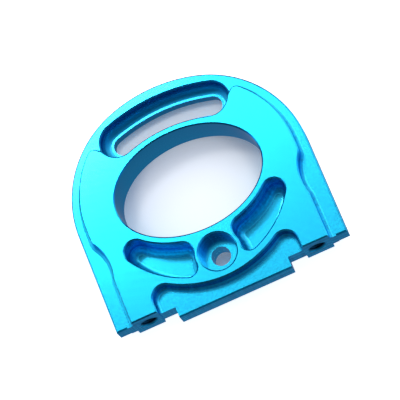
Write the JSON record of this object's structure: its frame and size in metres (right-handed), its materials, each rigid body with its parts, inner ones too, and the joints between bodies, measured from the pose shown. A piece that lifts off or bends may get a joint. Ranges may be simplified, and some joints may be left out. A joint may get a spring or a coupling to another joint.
{
  "type": "motor mount",
  "caption": "Arched motor mount plate with an oval opening, a counterbored pivot hole, a curved screw slot, kidney pockets and feet with tapped ends.",
  "frame": {"origin": "axis of the pivot screw hole, in the plane of the back face that the motor seats on", "axes": "+Z out of the front face, +Y from the feet towards the top of the arch, +X across the feet"},
  "size_m": [0.0386, 0.0364, 0.0066],
  "materials": {
    "blue_anodised": "satin, anodised bright blue"
  },
  "bodies": {
    "root": {"motor_mount": "blue_anodised"}
  },
  "joints": []
}
